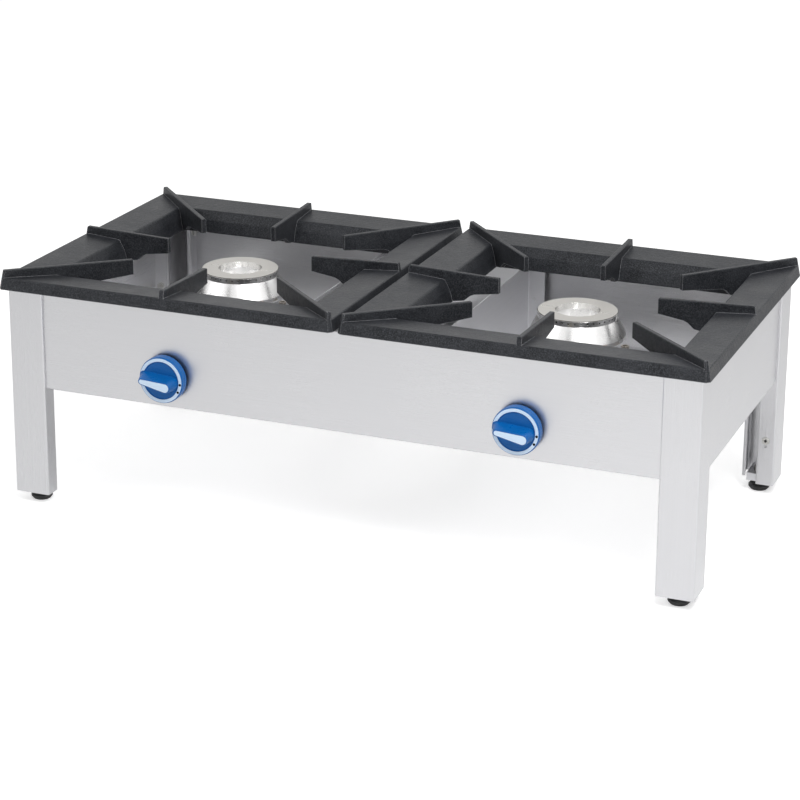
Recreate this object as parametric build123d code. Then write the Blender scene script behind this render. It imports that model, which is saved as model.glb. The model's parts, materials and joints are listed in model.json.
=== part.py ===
from build123d import *
from math import atan, degrees, sqrt
import os

# Two-burner stock pot range. Millimetres, +Z up, +Y to the back, +X to the right seen from the front.
# The origin is on the floor, in the middle of the footprint.

os.makedirs("parts", exist_ok=True)

# ---------------------------------------------------------------- driving dimensions
# plan
GRATE_SIZE = 575.0        # one grate, square
GRATE_GAP = 8.0           # between the two grates
GRATE_OVERHANG = 11.5     # of the grates past the faces of the legs
WELL_HALF = 167.5         # burner axis to the face of its baffle
# heights
LEG_CLEARANCE = 18.0      # underside of the legs above the floor
LEG_LENGTH = 344.0
PANEL_HEIGHT = 163.0
RIM_HEIGHT = 19.0         # outer rim of a grate above the body
FIN_RISE = 12.0           # outer ends of the fins above the rim
# folded sheet
LEG_FACE = 60.0
LEG_WALL = 2.0
LEG_LIP = 30.0            # return lips of the C section
LEG_HEM = 6.0             # hems on the lips
SHEET = 1.5               # panels, baffles, brackets, beam, runners
BEND_RADIUS = 3.0         # outside radius of every fold
PANEL_INSET = 5.0         # panel faces behind the leg faces
TOP_FLANGE = 30.0
BOTTOM_FLANGE = 25.0
FLANGE_END_GAP = 2.0      # end flanges stop short of the folds
# grate casting, widths counted inwards from its outer edge
RIM_FLAT = 66.0           # to the end of the nearly flat top
RIM_FLAT_DROP = 5.0       # fall of the flat top towards the middle
STEEP_RUN = 8.5           # steep part beyond the flat top
STEEP_DROP = 15.5
LIP_RUN = 6.0             # leaning lip below the steep part
LIP_DROP = 21.0
CAST_WALL = 9.0           # steep part and lip, measured level
OUTER_LEAN = 6.0          # lean of the outer faces from the body's top to the fins' tops
RIM_EDGE = 2.5            # rounding of the rim's outer top edge
FLAT_EDGE = 5.0           # rounding between flat top and steep part
STEEP_EDGE = 4.0          # rounding between steep part and lip
LIP_EDGE = 2.0            # rounding of the lip's foot
FIN_THICK = 8.0
FIN_FALL = 5.5            # fall of the fins' tops towards the middle
FIN_TIP_HALF = 130.0      # fin tips lie on a square of this half side
FIN_TIP_HEIGHT = 25.0
FIN_EDGE = 1.6            # rounding of the fins' top edges
FIN_FOOT = 2.0            # fins end above the lip's foot
GUSSET_TOE = 19.0         # under a fin, beyond the lip
GUSSET_TOE_RISE = 5.0     # above the lip's foot
GUSSET_HEEL = 29.0
GUSSET_HEEL_DROP = 9.0    # below the fin's tip
GUSSET_END = 36.0
GUSSET_END_DROP = 6.0
# centre of the body
BEAM_WIDTH = 70.0
BEAM_DEPTH = 42.0
BAFFLE_FLANGE = 30.0
BAFFLE_STANDOFF = 17.0    # gap between baffle flange and panel
BAFFLE_TOP_GAP = 1.0      # below the grate's lips
BAFFLE_VENT = 3.0         # radius
BAFFLE_VENT_IN = 12.0     # from the baffle's face
BAFFLE_VENT_RISE = 77.5   # above the baffle's lower edge
RAIL_NOTCH = 1.0          # gap round the gas rail
# burner
CAP_DROP = 41.0           # burner top below the fins' outer ends
CAP_RADIUS = 63.5
CAP_HOLE_RADIUS = 35.5
CAP_HEIGHT = 9.5
CAP_WALL = 3.5
CAP_RIM = 4.0             # outer wall of the cap
CAP_EDGE = 1.0
INNER_RIM = 4.0           # inner wall of cap and bowl
PORT_COUNT = 40
PORT_RADIUS = 1.3
PORT_HEIGHT = 5.2         # above the cap's lower edge
CAP_SLOT_LENGTH = 20.0
CAP_SLOT_WIDTH = 4.0
CAP_SLOT_DEPTH = 1.5
LOCATING_LIP = 2.5        # lip of the bowl inside the cap
BOWL_FLARE = 13.0         # skirt radius beyond the cap
BOWL_HEIGHT = 40.5
BOWL_RIM = 8.0            # top face of the bowl's outer wall
BOWL_WALL = 4.5
BOWL_TAPER = 10.5         # the bowl's side turns in this much below the skirt
BOWL_CORNER = 2.0         # inner corner of the floor
BOWL_WALL_RISE = 2.5      # the inner face turns in this much higher
SKIRT_HEIGHT = 26.5
SKIRT_EDGE = 6.0
NECK_TAPER = 6.5          # the hole is this much narrower at its foot
NECK_HEIGHT = 12.0        # straight foot of the hole
TUBE_RADIUS = 17.0        # mixing tube, outside
TUBE_BORE = 13.5
TUBE_DROP = 15.0          # tube axis below the bowl's floor
THROAT_OFFSET = 48.0
PILLAR_X = 45.0
PILLAR_RADIUS = 7.0
PILLAR_THREAD = 12.0
WINDOW_START = 6.0        # air windows behind the tube's mouth
WINDOW_LENGTH = 14.0
WINDOW_WIDTH = 14.0
SHUTTER_LENGTH = 24.0
SHUTTER_WALL = 1.5
BRACKET_WIDTH = 110.0
BRACKET_DEPTH = 16.0
BRACKET_GAP = 2.0         # tube to bracket
# pilot and thermocouple, places from the burner's axis
PILOT_X = 83.0
PILOT_Y = -15.0
PILOT_BELOW_SKIRT = 2.0
PILOT_BASE_LENGTH = 14.0
PILOT_BASE_WIDTH = 12.0
PILOT_BASE_HEIGHT = 3.0
PILOT_STEM = 4.5          # radius
PILOT_HOOD = 6.0          # radius
PILOT_HOOD_HEIGHT = 8.0
PILOT_HOOD_BORE = 4.0
PILOT_HOOD_DEPTH = 6.0
PILOT_SOCKET = 8.0        # side socket for the pilot's pipe
PILOT_SOCKET_RADIUS = 4.0
PILOT_PIPE_RISE = 12.0    # pilot pipe above the bracket
PILOT_PIPE_RADIUS = 2.0
PROBE_X = 69.0
PROBE_Y = -48.0
PROBE_RADIUS = 2.5
PROBE_RISE = 3.0          # above the pilot
PROBE_FOOT = 2.0          # below the bracket
LEAD_DROP = 11.0          # thermocouple lead below the knob's axis
LEAD_RADIUS = 1.3
THIN_BEND = 10.0          # bends of lead and pilot pipe
# knob
KNOB_RISE = 50.0          # knob axis above the panel's lower edge
KNOB_RADIUS = 37.5
KNOB_FACE_RADIUS = 36.5
KNOB_EDGE = 2.5           # height of the bevel round the face
KNOB_FACE = 20.0          # ring face in front of the panel
KNOB_GAP = 5.5            # skirt to panel, of which PUSH_TRAVEL is used
KNOB_WALL = 3.0
KNOB_HOLE_GAP = 2.0       # spindle to the panel's hole
FACE_STEP = 0.6           # step inside the ring
FACE_BEVEL = 1.0
FACE_SINK = 1.0           # middle of the face below the ring
RING_OUTER = 35.9
RING_INNER = 30.9
INLAY_DEPTH = 0.8
INLAY_PROUD = 0.3
INLAY_MARGIN = 1.6
POINTER_ANGLE = 8.0       # the grip points left and this much upwards
KNOB_GRIP = 24.0          # grip in front of the ring face
GRIP_LEFT = 21.8          # centres of the grip's two round ends from the axis
GRIP_RIGHT = 18.7
GRIP_LEFT_RADIUS = 5.2
GRIP_RIGHT_RADIUS = 8.4
GRIP_DRAFT = 3.0          # how much wider and longer the grip is at its foot
GRIP_FOOT_SHIFT = 6.0     # the grip's left end slopes out to the rim
GRIP_SINK = 1.5           # grip's foot below the ring face
GRIP_EDGE = 1.0
GRIP_RING_GAP = 1.0       # the ring ends short of the grip's narrow end
HUB_RADIUS = 9.0
HUB_DEPTH = 10.0          # spindle into the grip
PUSH_TRAVEL = 4.0
PUSH_ROOM = 2.0           # left over behind the spindle and the plunger when pushed
# gas tap and pipes
TAP_WIDTH = 34.0
TAP_HEIGHT = 30.0
TAP_LENGTH = 44.0
TAP_STANDOFF = 3.5        # tap body behind the panel
TAP_COLLAR = 11.0         # radius of the collar that touches the panel
TAP_CHAMFER = 4.0
TAP_STEM = 6.0
PILOT_OUTLET_X = 10.0
PILOT_OUTLET_IN = 10.0    # from the tap's front
PILOT_OUTLET_RISE = 4.0
PILOT_OUTLET_RADIUS = 4.0
SPINDLE_RADIUS = 4.0
SPINDLE_DEPTH = 20.0      # spindle's end behind the panel
PLUNGER_RADIUS = 3.0
PLUNGER_LENGTH = 14.0
RAIL_RADIUS = 10.65       # half inch steel tube
RAIL_BORE = 8.0
RAIL_END_WALL = 3.0
RAIL_BEHIND_PANEL = 33.5  # rail axis from the inside of the front panel
RAIL_BELOW_KNOB = 28.0
STEM_SINK = 2.0           # tap stem into the rail's wall
FEED_HOLE = 7.0           # radius of the rail's side hole
TEE_WALL = 4.0
TEE_HALF = 20.0
TEE_BRANCH = 30.0
FEED_GAP = 1.0            # rail to feed pipe, inside the tee
FEED_GRIP = 12.0          # feed pipe ends before the rear panel
PIPE_RADIUS = 6.0
PIPE_BORE = 4.5
PIPE_BEND = 12.0
OUTLET_RUN = 40.0         # from the tap to the injector
INJECTOR_RADIUS = 7.0     # to the flats
INJECTOR_HEX = 13.0
INJECTOR_NOSE = 6.0
INJECTOR_NOSE_RADIUS = 4.0
INJECTOR_IN = 2.0         # nose inside the tube's mouth
INJECTOR_BORE = 3.0
INJECTOR_BORE_PAST = 2.0  # bore beyond the hexagon
INJECTOR_JET = 0.9
INLET_RADIUS = 10.48      # R 1/2 thread
INLET_BORE = 7.0
INLET_SOCKET = 24.0       # hexagon inside the rear panel
INLET_GROOVE = 1.0        # width of the groove beyond the nut
INLET_GROOVE_DEPTH = 0.6
INLET_HOLE_GAP = 0.5
INLET_NUT_HEIGHT = 8.0
INLET_NUT_RADIUS = 15.0
# feet
FOOT_RADIUS = 17.5
GLIDE_HEIGHT = 10.0
GLIDE_FOOT_EDGE = 3.5     # the glide is this much narrower on the floor
GLIDE_FOOT_RISE = 4.0
GLIDE_TOP_EDGE = 2.5
GLIDE_TOP_DROP = 2.5
STUD_RADIUS = 5.0
STUD_TOP = 30.0           # above the underside of the leg
FOOT_BRACKET = 36.0
FOOT_BRACKET_DEPTH = 13.0
FOOT_NUT_RADIUS = 8.5
FOOT_NUT_HEIGHT = 8.0
# leg inserts
INSERT_HEIGHT = 77.5      # above the underside of the leg
INSERT_SHIFT = 1.0        # from the middle of the lip
INSERT_BORE = 2.5
INSERT_BODY = 4.5
INSERT_FLANGE = 6.0
INSERT_LENGTH = 10.0
INSERT_HEAD = 2.0
VENT_HOLE = 2.5
VENT_DROP = 10.0          # below the insert
# trays
TRAY_WIDTH = 400.0
TRAY_LENGTH = 450.0
TRAY_DEPTH = 8.0
TRAY_SHEET = 1.0
TRAY_GRIP = 18.0
TRAY_SIDE_GAP = 1.0
RUNNER_LEDGE = 12.0
RUNNER_HEIGHT = 13.0
# fasteners
LOW_BOLT = 30.0           # above the panels' lower edge
HIGH_BOLT = 40.0          # below the body's top
THREAD_PAST = 2.0         # bolts and screws past what they hold
M6_RADIUS = 3.0
M6_HOLE = 3.3
M6_HEAD_RADIUS = 5.8
M6_HEAD = 4.0
M6_NUT = 5.0
M5_RADIUS = 2.5
M5_HOLE = 2.75
M5_HEAD_RADIUS = 4.6
M5_HEAD = 2.8
M5_NUT = 4.0
# clearances
FIT = 0.05                # round a stud, spindle or screw in its bore
SLIDE = 0.3               # between a sleeve, a tray or a cap and what it slides on
OVER = 1.0                # cutters run past the faces they open, joined shapes run into each other

# ---------------------------------------------------------------- places worked out from them
HALF_W = GRATE_SIZE + GRATE_GAP / 2 - GRATE_OVERHANG
HALF_D = GRATE_SIZE / 2 - GRATE_OVERHANG
BURNER_X = (GRATE_SIZE + GRATE_GAP) / 2
BAFFLE_X = BURNER_X - WELL_HALF
LEG_BOTTOM = LEG_CLEARANCE
BODY_TOP = LEG_BOTTOM + LEG_LENGTH
PANEL_BOTTOM = BODY_TOP - PANEL_HEIGHT
RIM_TOP = BODY_TOP + RIM_HEIGHT
FIN_TOP = RIM_TOP + FIN_RISE
LEAN = OUTER_LEAN / (RIM_HEIGHT + FIN_RISE)     # inwards for each millimetre up
STEEP_TOP = RIM_TOP - RIM_FLAT_DROP
STEEP_END = STEEP_TOP - STEEP_DROP
LIP_END = STEEP_END - LIP_DROP
LIP_TOP_W = RIM_FLAT + STEEP_RUN
LIP_W = LIP_TOP_W + LIP_RUN
PANEL_Y = HALF_D - PANEL_INSET            # outer face of front and rear panel
PANEL_X = HALF_W - PANEL_INSET            # outer face of the side panels
INNER_Y = PANEL_Y - SHEET
INNER_X = PANEL_X - SHEET
SPAN_X = HALF_W - LEG_FACE                # panels fill the space between the legs
SPAN_Y = HALF_D - LEG_FACE
FLOOR_TOP = PANEL_BOTTOM + SHEET          # top of the panels' bottom flanges
KNOB_Z = PANEL_BOTTOM + KNOB_RISE
CAP_TOP = FIN_TOP - CAP_DROP
CAP_BOTTOM = CAP_TOP - CAP_HEIGHT
BOWL_BOTTOM = CAP_BOTTOM - BOWL_HEIGHT
TUBE_Z = BOWL_BOTTOM - TUBE_DROP
BRACKET_TOP = TUBE_Z - TUBE_RADIUS - BRACKET_GAP
RAIL_Y = -(INNER_Y - RAIL_BEHIND_PANEL)
RAIL_Z = KNOB_Z - RAIL_BELOW_KNOB
FOOT_IN = LEG_FACE / 2                    # foot axis from the leg's outer faces
BRACKET_PLATE_TOP = LEG_BOTTOM + FOOT_BRACKET_DEPTH
TAP_FRONT = -INNER_Y + TAP_STANDOFF
TAP_REAR = TAP_FRONT + TAP_LENGTH
INJECTOR_START = TAP_REAR + OUTLET_RUN
INJECTOR_SHOULDER = INJECTOR_START + INJECTOR_HEX
INJECTOR_TIP = INJECTOR_SHOULDER + INJECTOR_NOSE
TUBE_MOUTH = INJECTOR_TIP - INJECTOR_IN   # along Y, as seen from the burner's axis

SIDES = {"left": -1, "right": 1}
LEGS = {"front_left": (-1, -1), "front_right": (1, -1), "rear_left": (-1, 1), "rear_right": (1, 1)}


# ---------------------------------------------------------------- helpers
def block(x0, x1, y0, y1, z0, z1):
    """A box between two opposite corners."""
    return Pos((x0 + x1) / 2, (y0 + y1) / 2, (z0 + z1) / 2) * Box(abs(x1 - x0), abs(y1 - y0), abs(z1 - z0))


def rod(start, end, radius):
    """A round bar from one point to another."""
    axis = Vector(*end) - Vector(*start)
    base = Plane(origin=start, z_dir=axis)
    return base * Cylinder(radius, axis.length, align=(Align.CENTER, Align.CENTER, Align.MIN))


def drill(start, end, radius, blind=False):
    """A round cutter that runs past its start and, unless it is blind, past its end."""
    step = (Vector(*end) - Vector(*start)).normalized() * OVER
    first = Vector(*start) - step
    last = Vector(*end) if blind else Vector(*end) + step
    return rod(tuple(first), tuple(last), radius)


def hex_bar(start, end, radius):
    """A hexagonal bar, radius measured to its flats."""
    axis = Vector(*end) - Vector(*start)
    base = Plane(origin=start, z_dir=axis)
    return extrude(base * RegularPolygon(radius, 6, major_radius=False), amount=axis.length)


def fold(points, wall, side):
    """The section of a folded sheet, from points along its outer face."""
    outline = FilletPolyline(*points, radius=BEND_RADIUS)
    return make_face(offset(outline, amount=wall, side=side, closed=True).edges())


def turned(points):
    """A solid of revolution about Z from (radius, height) points."""
    return revolve(Plane.XZ * make_face(Polyline(*points, close=True)), axis=Axis.Z)


def pipe(points, radius, bend, bore=0.0):
    """A tube along straight runs joined by bends no larger than the runs allow."""
    runs = [(Vector(*b) - Vector(*a)).length for a, b in zip(points, points[1:])]
    path = FilletPolyline(*points, radius=min(bend, 0.45 * min(runs)))
    start = Plane(origin=path @ 0, z_dir=path % 0)
    tube = sweep(start * Circle(radius), path=path)
    if bore:
        tube = tube - sweep(start * Circle(bore), path=path)
    return tube


def to_corner(shape, side_x, side_y):
    """Mirror what is built at the front left corner to one of the four corners."""
    if side_x > 0:
        shape = mirror(shape, about=Plane.YZ)
    if side_y > 0:
        shape = mirror(shape, about=Plane.XZ)
    return shape


def to_side(shape, side):
    """Mirror what is built on the right to the left where asked."""
    return mirror(shape, about=Plane.YZ) if side < 0 else shape


def keep(name, *solids):
    """Write one node; several separate solids share it as a group."""
    shape = solids[0] if len(solids) == 1 else Compound(children=[solid.solid() for solid in solids])
    export_step(shape, f"parts/{name}.step")


# ---------------------------------------------------------------- legs, their brackets, inserts and feet
BOLT_HEIGHTS = (PANEL_BOTTOM + LOW_BOLT, BODY_TOP - HIGH_BOLT)
BOLT_IN = (PANEL_INSET + SHEET + LEG_LIP - LEG_WALL) / 2      # bolt axis behind the leg's outer face
INSERT_X = -HALF_W + LEG_LIP / 2 + INSERT_SHIFT               # in the front left leg
INSERT_Z = LEG_BOTTOM + INSERT_HEIGHT
VENT_Z = INSERT_Z - VENT_DROP


def leg():
    """Front left leg: a C section open to the inner corner, with hemmed lips."""
    hem_start = LEG_FACE - LEG_HEM
    points = [(LEG_LIP, hem_start), (LEG_LIP, LEG_FACE), (0, LEG_FACE), (0, 0), (LEG_FACE, 0),
              (LEG_FACE, LEG_LIP), (hem_start, LEG_LIP)]
    body = extrude(fold(points, LEG_WALL, Side.LEFT), amount=LEG_LENGTH)
    body = Pos(-HALF_W, -HALF_D, LEG_BOTTOM) * body
    for z in BOLT_HEIGHTS:
        y = -HALF_D + BOLT_IN
        body -= drill((-SPAN_X - LEG_WALL, y, z), (-SPAN_X, y, z), M6_HOLE)
        x = -HALF_W + BOLT_IN
        body -= drill((x, -SPAN_Y - LEG_WALL, z), (x, -SPAN_Y, z), M6_HOLE)
    for z, radius in ((INSERT_Z, INSERT_BODY), (VENT_Z, VENT_HOLE)):
        body -= drill((INSERT_X, -SPAN_Y - LEG_WALL, z), (INSERT_X, -SPAN_Y, z), radius)
    return body


def foot_bracket():
    """Bridge plate welded inside the front left leg, with the stud's hole."""
    far = FOOT_IN + FOOT_BRACKET / 2
    top = FOOT_BRACKET_DEPTH
    plate = block(LEG_WALL, far, LEG_WALL, far, top - LEG_WALL, top)
    plate += block(far - LEG_WALL, far, LEG_WALL, far, 0, top)
    plate += block(LEG_WALL, far, far - LEG_WALL, far, 0, top)
    plate -= drill((FOOT_IN, FOOT_IN, 0), (FOOT_IN, FOOT_IN, top), STUD_RADIUS + FIT)
    outer_edge = plate.edges().filter_by(Axis.Z).sort_by_distance((LEG_WALL, LEG_WALL, 0))[0]
    plate = chamfer(outer_edge, BEND_RADIUS - LEG_WALL)
    return Pos(-HALF_W, -HALF_D, LEG_BOTTOM) * plate


def foot_nut():
    """Weld nut on the bracket of the front left leg."""
    x, y = -HALF_W + FOOT_IN, -HALF_D + FOOT_IN
    low, high = (x, y, BRACKET_PLATE_TOP), (x, y, BRACKET_PLATE_TOP + FOOT_NUT_HEIGHT)
    return hex_bar(low, high, FOOT_NUT_RADIUS) - drill(low, high, STUD_RADIUS + FIT)


def foot():
    """Levelling foot of the front left leg: a round glide moulded on a steel stud."""
    glide = turned([(0, 0), (FOOT_RADIUS - GLIDE_FOOT_EDGE, 0), (FOOT_RADIUS, GLIDE_FOOT_RISE),
                    (FOOT_RADIUS, GLIDE_HEIGHT - GLIDE_TOP_DROP),
                    (FOOT_RADIUS - GLIDE_TOP_EDGE, GLIDE_HEIGHT), (0, GLIDE_HEIGHT)])
    stud = rod((0, 0, GLIDE_HEIGHT - OVER), (0, 0, LEG_BOTTOM + STUD_TOP), STUD_RADIUS)
    return Pos(-HALF_W + FOOT_IN, -HALF_D + FOOT_IN, 0) * (glide + stud)


def lip_insert():
    """Flanged threaded insert in the front left leg's lip."""
    inside, face = (INSERT_X, -SPAN_Y - INSERT_LENGTH, INSERT_Z), (INSERT_X, -SPAN_Y, INSERT_Z)
    head = (INSERT_X, -SPAN_Y + INSERT_HEAD, INSERT_Z)
    body = rod(inside, face, INSERT_BODY) + hex_bar(face, head, INSERT_FLANGE)
    return body - drill(inside, head, INSERT_BORE)


# ---------------------------------------------------------------- panels, beam, baffles and brackets
FLANGE_LOW = FLOOR_TOP + FLANGE_END_GAP
FLANGE_HIGH = BODY_TOP - SHEET - FLANGE_END_GAP


def front_panel():
    """Folded sheet between the front legs, without holes."""
    points = [(-PANEL_Y + TOP_FLANGE, BODY_TOP), (-PANEL_Y, BODY_TOP), (-PANEL_Y, PANEL_BOTTOM),
              (-PANEL_Y + BOTTOM_FLANGE, PANEL_BOTTOM)]
    sheet = extrude(Plane.YZ.offset(-SPAN_X) * fold(points, SHEET, Side.LEFT), amount=2 * SPAN_X)
    for side in (-1, 1):
        flange = block(side * SPAN_X, side * (SPAN_X - SHEET), -INNER_Y - SHEET / 2,
                       -HALF_D + LEG_LIP - OVER, FLANGE_LOW, FLANGE_HIGH)
        for z in BOLT_HEIGHTS:
            y = -HALF_D + BOLT_IN
            flange -= drill((side * (SPAN_X - SHEET), y, z), (side * SPAN_X, y, z), M6_HOLE)
        sheet += flange
    return sheet


def left_panel():
    """Folded sheet between the left legs."""
    points = [(-PANEL_X + TOP_FLANGE, BODY_TOP), (-PANEL_X, BODY_TOP), (-PANEL_X, PANEL_BOTTOM),
              (-PANEL_X + BOTTOM_FLANGE, PANEL_BOTTOM)]
    sheet = extrude(Plane.XZ.offset(-SPAN_Y) * fold(points, SHEET, Side.LEFT), amount=2 * SPAN_Y)
    for side in (-1, 1):
        flange = block(-INNER_X - SHEET / 2, -HALF_W + LEG_LIP - OVER, side * SPAN_Y,
                       side * (SPAN_Y - SHEET), FLANGE_LOW, FLANGE_HIGH)
        for z in BOLT_HEIGHTS:
            x = -HALF_W + BOLT_IN
            flange -= drill((x, side * (SPAN_Y - SHEET), z), (x, side * SPAN_Y, z), M6_HOLE)
        sheet += flange
    return sheet


def centre_beam():
    """Channel between front and rear panel that carries the inner edges of both grates."""
    half = BEAM_WIDTH / 2
    clear_y = PANEL_Y - TOP_FLANGE
    low, high = BODY_TOP - BEAM_DEPTH, BODY_TOP - BEND_RADIUS
    section = fold([(-half, low), (-half, BODY_TOP), (half, BODY_TOP), (half, low)], SHEET, Side.RIGHT)
    beam = extrude(Plane.XZ.offset(-clear_y) * section, amount=2 * clear_y)
    for side in (-1, 1):
        start, end = side * (clear_y - OVER), side * INNER_Y
        for edge in (-1, 1):
            beam += block(edge * half, edge * (half - SHEET), start, end, low, high)
        beam += block(-half, half, side * (INNER_Y - SHEET), end, low, high)
    return beam


BAFFLE_Y = INNER_Y - BAFFLE_STANDOFF       # outer face of the baffle's flanges
BAFFLE_TAB_END = INNER_Y - FLANGE_END_GAP
BAFFLE_SCREW_Y = (BAFFLE_Y + BAFFLE_TAB_END) / 2
BAFFLE_SCREW_X = BAFFLE_X + BAFFLE_FLANGE / 2
BRACKET_SCREW_Y = BRACKET_WIDTH / 4
BRACKET_SCREW_Z = BRACKET_TOP - BRACKET_DEPTH / 2


def baffle():
    """Right baffle: closes the right burner's well towards the middle of the range."""
    face, far = BAFFLE_X, BAFFLE_X + BAFFLE_FLANGE
    points = [(far, -BAFFLE_Y), (face, -BAFFLE_Y), (face, BAFFLE_Y), (far, BAFFLE_Y)]
    height = LIP_END - BAFFLE_TOP_GAP - FLOOR_TOP
    sheet = extrude(Plane.XY.offset(FLOOR_TOP) * fold(points, SHEET, Side.RIGHT), amount=height)
    for side in (-1, 1):
        x, y = BAFFLE_SCREW_X, side * BAFFLE_SCREW_Y
        tab = block(face + BEND_RADIUS, far, side * (BAFFLE_Y - SHEET / 2), side * BAFFLE_TAB_END,
                    FLOOR_TOP, FLOOR_TOP + SHEET)
        sheet += tab - drill((x, y, FLOOR_TOP), (x, y, FLOOR_TOP + SHEET), M5_HOLE)
        y = side * BRACKET_SCREW_Y
        sheet -= drill((face, y, BRACKET_SCREW_Z), (face + SHEET, y, BRACKET_SCREW_Z), M5_HOLE)
    notch = RAIL_RADIUS + RAIL_NOTCH
    sheet -= block(face - OVER, face + SHEET + OVER, RAIL_Y - notch, RAIL_Y + notch, FLOOR_TOP, RAIL_Z + notch)
    vent_x, vent_z = face + BAFFLE_VENT_IN, FLOOR_TOP + BAFFLE_VENT_RISE
    return sheet - drill((vent_x, BAFFLE_Y - SHEET, vent_z), (vent_x, BAFFLE_Y, vent_z), BAFFLE_VENT)


def burner_bracket():
    """Channel from the right baffle to the right side panel, under the right burner."""
    half = BRACKET_WIDTH / 2
    low = BRACKET_TOP - BRACKET_DEPTH
    start, end = BAFFLE_X + SHEET, INNER_X
    section = fold([(-half, low), (-half, BRACKET_TOP), (half, BRACKET_TOP), (half, low)], SHEET, Side.RIGHT)
    channel = extrude(Plane.YZ.offset(start) * section, amount=end - start)
    inside = half - BEND_RADIUS
    for x in (start, end - SHEET):
        channel += block(x, x + SHEET, -inside, inside, low, BRACKET_TOP - SHEET / 2)
    for side in (-1, 1):
        y = side * BRACKET_SCREW_Y
        channel -= drill((start, y, BRACKET_SCREW_Z), (start + SHEET, y, BRACKET_SCREW_Z), M5_HOLE)
    return channel


# ---------------------------------------------------------------- grates
def round_corner(face, point, radius):
    """Fillet the one corner of a flat face that lies nearest to a point."""
    corner = face.vertices().sort_by_distance(point)[0]
    return fillet(corner, radius)


def rim_section():
    """Section of the frame: width from the outer edge inwards, and height."""
    under_flat = RIM_FLAT - CAST_WALL + (STEEP_TOP - BODY_TOP) * STEEP_RUN / STEEP_DROP
    outer_top = (LEAN * RIM_HEIGHT, RIM_TOP)
    flat_end, steep_end, foot_end = (RIM_FLAT, STEEP_TOP), (LIP_TOP_W, STEEP_END), (LIP_W, LIP_END)
    points = [(0, BODY_TOP), outer_top, flat_end, steep_end, foot_end, (LIP_W - CAST_WALL, LIP_END),
              (LIP_TOP_W - CAST_WALL, STEEP_END), (under_flat, BODY_TOP)]
    face = make_face(Polyline(*points, close=True))
    face = round_corner(face, outer_top, RIM_EDGE)
    face = round_corner(face, flat_end, FLAT_EDGE)
    face = round_corner(face, steep_end, STEEP_EDGE)
    return round_corner(face, foot_end, LIP_EDGE)


def fin_section(stretch, tip, end):
    """Side view of a fin: width from the rim's outer edge, stretched along a diagonal, and height."""
    tip_top = FIN_TOP - FIN_FALL
    tip_low = tip_top - FIN_TIP_HEIGHT
    lip, middle = LIP_W * stretch, CAST_WALL / 2
    buried = BODY_TOP + RIM_HEIGHT / 2
    points = [(end + OUTER_LEAN, FIN_TOP), (tip, tip_top), (tip, tip_low),
              (lip + GUSSET_END, tip_low - GUSSET_END_DROP), (lip + GUSSET_HEEL, tip_low - GUSSET_HEEL_DROP),
              (lip + GUSSET_TOE, LIP_END + GUSSET_TOE_RISE), (lip, LIP_END + FIN_FOOT),
              ((LIP_W - middle) * stretch, LIP_END + FIN_FOOT), ((LIP_TOP_W - middle) * stretch, STEEP_END),
              ((RIM_FLAT - middle) * stretch, buried), (end + LEAN * (buried - BODY_TOP), buried)]
    return make_face(Polyline(*points, close=True))


def fin(stretch, tip, end):
    """A fin along +X from the middle of a grate outwards, its top edges rounded."""
    plate = extrude(Plane.XZ.offset(-FIN_THICK / 2) * fin_section(stretch, tip, end), amount=FIN_THICK)
    plate = fillet(plate.faces().sort_by(Axis.Z)[-1].edges(), FIN_EDGE)
    return Pos(GRATE_SIZE / 2 * stretch, 0, 0) * mirror(plate, about=Plane.YZ)


def outer_shape():
    """Block that the casting stays inside: corners cut as wide as a fin, leaning above the body."""
    plan = Rectangle(GRATE_SIZE, GRATE_SIZE)
    plan = chamfer(plan.vertices(), FIN_THICK / sqrt(2))
    low = extrude(Plane.XY.offset(LIP_END - OVER) * plan, amount=BODY_TOP - LIP_END + OVER)
    lean_angle = degrees(atan(LEAN))
    return low + extrude(Plane.XY.offset(BODY_TOP) * plan, amount=FIN_TOP - BODY_TOP + OVER, taper=lean_angle)


def grate():
    """Cast frame of four mitred bars and eight fins, centred on Z."""
    half = GRATE_SIZE / 2
    inner = half - LIP_W - OVER
    bar = Pos(0, -half, 0) * extrude(Plane.YZ.offset(-half) * rim_section(), amount=GRATE_SIZE)
    mitre = make_face(Polyline((-half, -half), (half, -half), (inner, -inner), (-inner, -inner), close=True))
    bar = bar & extrude(Plane.XY.offset(LIP_END - OVER) * mitre, amount=RIM_TOP - LIP_END + 2 * OVER)
    casting = bar
    for turn in (90, 180, 270):
        casting += Rot(0, 0, turn) * bar
    mid_fin = fin(1.0, half - FIN_TIP_HALF, 0)
    corner_fin = fin(sqrt(2), (half - FIN_TIP_HALF) * sqrt(2), FIN_THICK / 2)
    for turn in (0, 90, 180, 270):
        casting += Rot(0, 0, turn) * mid_fin
        casting += Rot(0, 0, turn + 45) * corner_fin
    return casting & outer_shape()


# ---------------------------------------------------------------- burners
PORT_Z = CAP_BOTTOM + PORT_HEIGHT
PILOT_TOP = CAP_BOTTOM - SKIRT_HEIGHT - SKIRT_EDGE - PILOT_BELOW_SKIRT
PROBE_TOP = PILOT_TOP + PROBE_RISE
PILOT_PIPE_Z = BRACKET_TOP + PILOT_PIPE_RISE
LEAD_Z = KNOB_Z - LEAD_DROP


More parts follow.
